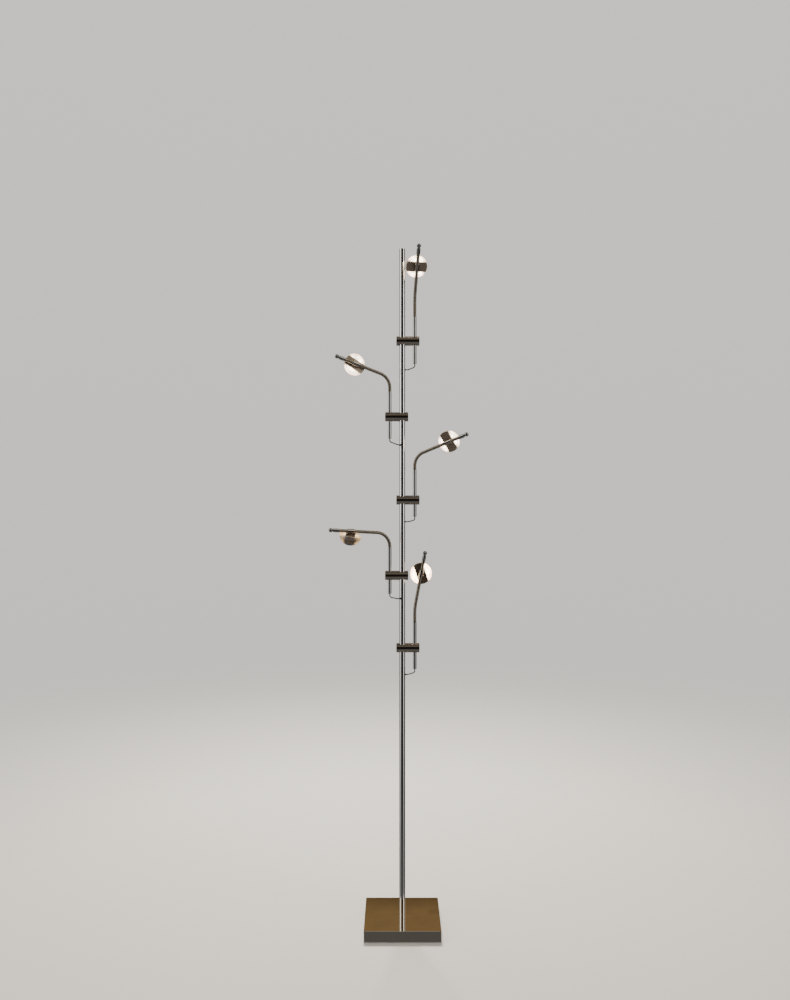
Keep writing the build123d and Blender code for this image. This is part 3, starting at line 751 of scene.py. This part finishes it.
# ---------------------------------------------------------------- CAD nodes
# Colour of the base's outer edges: partly wear, partly a painted edge highlight.
BASE_EDGE_WEAR_AND_HIGHLIGHT = (0.85, 0.80, 0.72)
# Distances from the pole's foot between which the brightened edges, worn and with a painted highlight,
# start, so its seat stays plain.
EDGE_START = (50 * MM, 60 * MM)


def base_material(props):
    """Mirror-polished plate with faint wipe marks. Its colour is warm partly from its plating and partly as
    a painted amber reflection, and it is brighter along its outer edges, by wear and a painted edge
    highlight.
    """
    material, tree, shader = new_material("base_plating")
    polish, surface = polished(tree, shader, tuple(props.base), 0.93, 0.035, 0.05, ALONG_Y)
    reach = vector_node(tree, "LENGTH", object_place(tree)).outputs["Value"]
    edge = place_group(tree, edge_group(), Radius=1.2 * MM)
    # Wear and a painted highlight: the outer edges are brightened.
    edge_wear_and_highlight = math_node(tree, "MULTIPLY", edge.outputs["Mask"], ramp(tree, reach, *EDGE_START))
    link(tree, mix_colour(tree, edge_wear_and_highlight, surface, BASE_EDGE_WEAR_AND_HIGHLIGHT), shader.inputs["Base Color"])
    link(tree, bump(tree, polish.outputs["Height"], POLISH_BUMP, 0.05 * MM), shader.inputs["Normal"])
    return material


class LAMP_OT_base(bpy.types.Operator):
    """Finish the base plate, its pad and the fixings under it"""
    bl_idname = "lamp.base"
    bl_label = "Base"

    def execute(self, context):
        finish = settings().finish
        dress(["base_plate"], base_material(finish))
        dress(["base_pad"], moulded("pad_rubber", tuple(finish.pad), 0.75, 900.0))
        dress(["cable_gland", "lead_grommets"],
              moulded("black_moulding", tuple(finish.moulding), 0.42, 1400.0))
        dress(["foot_insert", "foot_fixing", "clamp_screws"],
              plated("turned_steel", tuple(finish.steel), 0.76, 0.24, 0.10))
        return {"FINISHED"}


class LAMP_OT_pole(bpy.types.Operator):
    """Finish the pole and its cap"""
    bl_idname = "lamp.pole"
    bl_label = "Pole"

    def execute(self, context):
        dress(["pole", "pole_cap"], plated("pole_nickel", tuple(settings().finish.nickel), 0.9, 0.03, 0.03))
        return {"FINISHED"}


class LAMP_OT_clamps(bpy.types.Operator):
    """Finish the clamps"""
    bl_idname = "lamp.clamps"
    bl_label = "Clamps"

    def execute(self, context):
        colour = tuple(settings().finish.clamp)
        # The clamps' edges carry wear and a painted edge highlight.
        dress(on_arms("clamp_{}"), plated("clamp_nickel", colour, 0.82, 0.10, 0.05, ALONG_X, edge_wear_and_highlight=True))
        return {"FINISHED"}


class LAMP_OT_stems(bpy.types.Operator):
    """Finish the stems and the leads"""
    bl_idname = "lamp.stems"
    bl_label = "Stems and leads"

    def execute(self, context):
        finish = settings().finish
        # Painted shade: the stems get a darkened copy of the pole's nickel.
        plating = plated("stem_nickel", shade(finish.nickel, finish.stem), 0.85, 0.04, 0.03)
        dress(on_arms("arm_{}_stem"), plating)
        sleeve = moulded("lead_sleeve", tuple(finish.sleeve), 0.62, 1100.0)
        dress(["inner_cable"] + on_arms("arm_{}_lead"), sleeve)
        return {"FINISHED"}


class LAMP_OT_knobs(bpy.types.Operator):
    """Finish the end knobs"""
    bl_idname = "lamp.knobs"
    bl_label = "Knobs"

    def execute(self, context):
        finish = settings().finish
        # Painted shade: the knobs get a darkened copy of the pole's nickel.
        plating = plated("knob_nickel", shade(finish.nickel, finish.knob), 0.8, 0.09, 0.08)
        dress(on_arms("arm_{}_knob"), plating)
        return {"FINISHED"}


PHOSPHOR, PHOSPHOR_DARK = (0.95, 0.90, 0.78), (0.85, 0.80, 0.66)


def led_material(name, warm, chip):
    """The yellow phosphor of an LED disc, lit."""
    material, tree, shader = new_material(name)
    grain = noise(tree, object_place(tree), 700.0)
    link(tree, mix_colour(tree, grain, PHOSPHOR, PHOSPHOR_DARK), shader.inputs["Base Color"])
    shader.inputs["Emission Color"].default_value = (*warm, 1)
    shader.inputs["Emission Strength"].default_value = chip
    return material


class LAMP_OT_heads(bpy.types.Operator):
    """Finish the collars, studs, bars and LED discs"""
    bl_idname = "lamp.heads"
    bl_label = "Heads"

    def execute(self, context):
        finish = settings().finish
        dress(on_arms("head_{}_collar") + on_arms("head_{}_stud"),
              plated("collar_nickel", tuple(finish.clamp), 0.8, 0.12, 0.08))
        # The bars' edges carry wear and a painted edge highlight.
        dress(on_arms("head_{}_bar"), plated("bar_nickel", tuple(finish.bar), 0.6, 0.42, 0.12, edge_wear_and_highlight=True))
        lens = settings().lens
        bright = led_material("led_board", lens.warm, lens.chip)
        dim = led_material("led_board_dim", lens.warm, lens.chip * lens.dim)
        for number in ARMS:
            dress([f"head_{number}_led"], dim if number == DIM_HEAD else bright)
        return {"FINISHED"}


# ---------------------------------------------------------------- stage
def disc_mesh(name, radius, rings, around):
    """A flat disc on the ground: point(i, a) = radius * i / rings * (cos a, sin a, 0)."""
    share = np.linspace(0.001, 1, rings)[:, None]
    angle = np.linspace(0, 2 * np.pi, around, endpoint=False)[None, :]
    points = np.zeros((rings, around, 3))
    points[:, :, 0] = radius * share * np.cos(angle)
    points[:, :, 1] = radius * share * np.sin(angle)
    return grid_mesh(name, points[::-1], close_start=False)


def floor_material(props):
    """A pale matt floor that fades out with distance from the pole."""
    material, tree, shader = new_material("pale_floor")
    place = object_place(tree)
    cloud = noise(tree, place, 1.3)
    pale = tuple(props.floor)
    link(tree, mix_colour(tree, cloud, pale, shade(pale, 0.95)), shader.inputs["Base Color"])
    reach = vector_node(tree, "LENGTH", place).outputs["Value"]
    link(tree, ramp(tree, reach, props.fade, props.edge, 1.0, 0.0), shader.inputs["Alpha"])
    shader.inputs["Roughness"].default_value = 0.75
    return material


# Upright strips of light: azimuth from the front, half width and soft edge in degrees, and strength.
STRIPS = ((-68.0, 9.0, 6.0, 4.0), (57.0, 8.0, 6.0, 3.4), (-135.0, 7.0, 6.0, 1.2), (138.0, 7.0, 6.0, 1.0))
# Heights in the studio, as the sine of the angle above the horizon, from where a light starts to
# where it is full. The last two heights of the low sky's colour are where it ends.
LOW_SKY = (0.385, 0.41)
LOW_SKY_COLOUR = (0.36, 0.385, 0.48, 0.62)
CEILING = (0.45, 0.65)
ZENITH = (0.65, 0.97)
ZENITH_SHARE = 0.45
NEAR_GROUND = (-0.30, -0.41)
DEEP_GROUND = (-0.45, -0.65)
STRIP_FOOT = (-0.38, 0.08)
STRIP_FOOT_SHARE = 0.10
# Radians of azimuth from the front between which the low sky goes from its front share to full.
FRONT = (0.6, 1.2)
FRONT_SHARE = 0.35
# Sines of the azimuth between which the low sky's colour ends towards the sides.
SIDES = (0.45, 0.65)
WARM_WHITE = (1.0, 0.94, 0.86)
# Heights between which steep rays through the glass meet the dark of the room.
STEEP = (0.16, 0.42)
ROOM_DARK = (0.04, 0.037, 0.033)


def strip(tree, azimuth, centre, half, soft, strength):
    """A soft upright band of light: full within half of its centre, gone soft beyond that."""
    away = math_node(tree, "ABSOLUTE", math_node(tree, "SUBTRACT", azimuth, np.radians(centre).item()))
    return ramp(tree, away, np.radians(half).item(), np.radians(half + soft).item(), strength, 0.0)


def low_band(tree, height, azimuth):
    """Where the low sky is coloured: before and behind the lamp, not at its sides, below or high up."""
    start, full, fade, end = LOW_SKY_COLOUR
    band = math_node(tree, "MULTIPLY", ramp(tree, height, start, full),
                     ramp(tree, height, fade, end, 1.0, 0.0))
    sides = math_node(tree, "ABSOLUTE", math_node(tree, "SINE", azimuth))
    return math_node(tree, "MULTIPLY", band, ramp(tree, sides, *SIDES, 1.0, 0.0))


def front_shade(tree, azimuth):
    """Dims the low sky before the lamp, where a dark room stands behind the viewer."""
    return ramp(tree, math_node(tree, "ABSOLUTE", azimuth), *FRONT, FRONT_SHARE, 1.0)


def studio_light(tree, props, height, azimuth):
    """Strength of the studio's light: the low sky and the ceiling above, the floor's glow below, the
    upright strips, and the dark between them."""
    low_sky = math_node(tree, "MULTIPLY", ramp(tree, height, *LOW_SKY, 0.0, props.low_sky),
                        front_shade(tree, azimuth))
    rising = ramp(tree, height, *CEILING, 0.0, props.ceiling - props.low_sky)
    zenith = ramp(tree, height, *ZENITH, 1.0, ZENITH_SHARE)
    above = math_node(tree, "MULTIPLY", math_node(tree, "ADD", low_sky, rising), zenith)
    near_ground = ramp(tree, height, *NEAR_GROUND, 0.0, props.near_ground)
    deep_ground = ramp(tree, height, *DEEP_GROUND, 0.0, props.ground - props.near_ground)
    light = math_node(tree, "ADD", above, math_node(tree, "ADD", near_ground, deep_ground))
    level = ramp(tree, height, *STRIP_FOOT, STRIP_FOOT_SHARE, 1.0)
    for centre, half, soft, strength in STRIPS:
        band = math_node(tree, "MULTIPLY", level, strip(tree, azimuth, centre, half, soft, strength))
        light = math_node(tree, "ADD", light, band)
    return math_node(tree, "ADD", light, props.dark)


def backdrop_colour(tree, props, height, through_glass):
    """The pale backdrop, a little lighter upwards, and the dark room for steep rays through the glass."""
    upper = shade(props.backdrop, 1.12)
    pale = mix_colour(tree, ramp(tree, height, -0.5, 0.45), tuple(props.backdrop), upper)
    tilt = math_node(tree, "ABSOLUTE", height)
    bent = math_node(tree, "MULTIPLY", through_glass, ramp(tree, tilt, *STEEP))
    return mix_colour(tree, bent, pale, ROOM_DARK)


def studio_world(props):
    """A pale backdrop for what is seen straight or through the glass, and round it, for reflections
    and soft light, a dark studio with upright strips of light and a bright ceiling."""
    world = bpy.data.worlds.new("studio")
    world.use_nodes = True
    tree = world.node_tree
    heading = tree.nodes.new("ShaderNodeSeparateXYZ")
    link(tree, tree.nodes.new("ShaderNodeTexCoord").outputs["Generated"], heading.inputs[0])
    front = math_node(tree, "MULTIPLY", heading.outputs["Y"], -1.0)
    azimuth = math_node(tree, "ARCTAN2", heading.outputs["X"], front)
    height = heading.outputs["Z"]
    ray = tree.nodes.new("ShaderNodeLightPath").outputs
    light = studio_light(tree, props, height, azimuth)
    matt = math_node(tree, "MULTIPLY", ray["Is Diffuse Ray"], 1 - props.fill)
    light = math_node(tree, "MULTIPLY", light, math_node(tree, "SUBTRACT", 1.0, matt))
    studio = mix_colour(tree, ramp(tree, height, 0.1, 0.5), (1.0, 1.0, 1.0), WARM_WHITE)
    amber = math_node(tree, "MULTIPLY", low_band(tree, height, azimuth), ray["Is Glossy Ray"])
    studio = mix_colour(tree, amber, studio, tuple(props.amber))
    backdrop = backdrop_colour(tree, props, height, ray["Is Transmission Ray"])
    seen = math_node(tree, "MAXIMUM", ray["Is Camera Ray"], ray["Is Transmission Ray"])
    shader = tree.nodes["Background"]
    link(tree, mix_colour(tree, seen, studio, backdrop), shader.inputs["Color"])
    strength = tree.nodes.new("ShaderNodeMix")
    link(tree, seen, strength.inputs["Factor"])
    link(tree, light, strength.inputs["A"])
    strength.inputs["B"].default_value = 1.0
    link(tree, strength.outputs["Result"], shader.inputs["Strength"])
    return world


def soft_light(name, place, target, size, power, colour):
    """An area light that faces a point, and is seen neither in metal nor through the glass."""
    data = bpy.data.lights.new(name, "AREA")
    data.shape = "RECTANGLE"
    data.size, data.size_y = size
    data.energy = power
    data.color = colour
    lamp = bpy.data.objects.new(name, data)
    lamp.visible_glossy = False
    lamp.visible_transmission = False
    bpy.context.scene.collection.objects.link(lamp)
    lamp.location = place
    lamp.rotation_euler = (Vector(target) - Vector(place)).to_track_quat("-Z", "Y").to_euler()
    return lamp


PHOTO_HEIGHT = 1000.0
SENSOR_WIDTH = 36.0
TOP_PLACE, TOP_AIM, TOP_SIZE = (-0.15, 1.7, 2.9), (0, 0, 0), (0.9, 0.9)
FLOOR_RINGS, FLOOR_AROUND = 24, 96


class LAMP_OT_stage(bpy.types.Operator):
    """Set the camera, a plain pale floor and soft studio light"""
    bl_idname = "lamp.stage"
    bl_label = "Stage"

    def execute(self, context):
        props = settings().stage
        camera = bpy.data.objects.new("camera", bpy.data.cameras.new("camera"))
        context.scene.collection.objects.link(camera)
        camera.location = props.eye
        camera.rotation_euler = (np.pi / 2, 0, 0)
        camera.data.sensor_width = SENSOR_WIDTH
        camera.data.lens = props.focal / PHOTO_HEIGHT * SENSOR_WIDTH
        context.scene.camera = camera
        disc = disc_mesh("floor", props.edge, FLOOR_RINGS, FLOOR_AROUND)
        floor = add_piece("floor", disc, floor_material(props))
        floor.visible_glossy = False
        soft_light("top_soft", TOP_PLACE, TOP_AIM, TOP_SIZE, props.power, WARM_WHITE)
        context.scene.world = studio_world(props)
        return {"FINISHED"}


# ---------------------------------------------------------------- panel and registration
STEPS = ("stage", "base", "pole", "clamps", "stems", "knobs", "heads", "necks", "lenses")


class LAMP_PT_panel(bpy.types.Panel):
    """Buttons for the lamp's pieces, in the order in which they are made"""
    bl_idname = "LAMP_PT_panel"
    bl_label = "Tree Floor Lamp"
    bl_space_type = "VIEW_3D"
    bl_region_type = "UI"
    bl_category = "Lamp"

    def draw(self, context):
        column = self.layout.column()
        for step in STEPS:
            column.operator(f"lamp.{step}")


CLASSES = (LampNeckSettings, LampLensSettings, LampFinishSettings, LampStageSettings, TreeLampSettings,
           LAMP_OT_stage, LAMP_OT_base, LAMP_OT_pole, LAMP_OT_clamps, LAMP_OT_stems, LAMP_OT_knobs,
           LAMP_OT_heads, LAMP_OT_necks, LAMP_OT_lenses, LAMP_PT_panel)


def register():
    """Register the classes and give the scene its settings."""
    for cls in CLASSES:
        bpy.utils.register_class(cls)
    bpy.types.Scene.tree_lamp = bpy.props.PointerProperty(type=TreeLampSettings)


def unregister():
    """Take the settings and the classes away again."""
    del bpy.types.Scene.tree_lamp
    for cls in reversed(CLASSES):
        bpy.utils.unregister_class(cls)


def plain(box):
    """A box as plain lists of numbers."""
    return [[float(v) for v in corner] for corner in box]


def main():
    """Make and dress the lamp."""
    register()
    for step in STEPS:
        getattr(bpy.ops.lamp, step)()


if __name__ == "__main__":
    main()
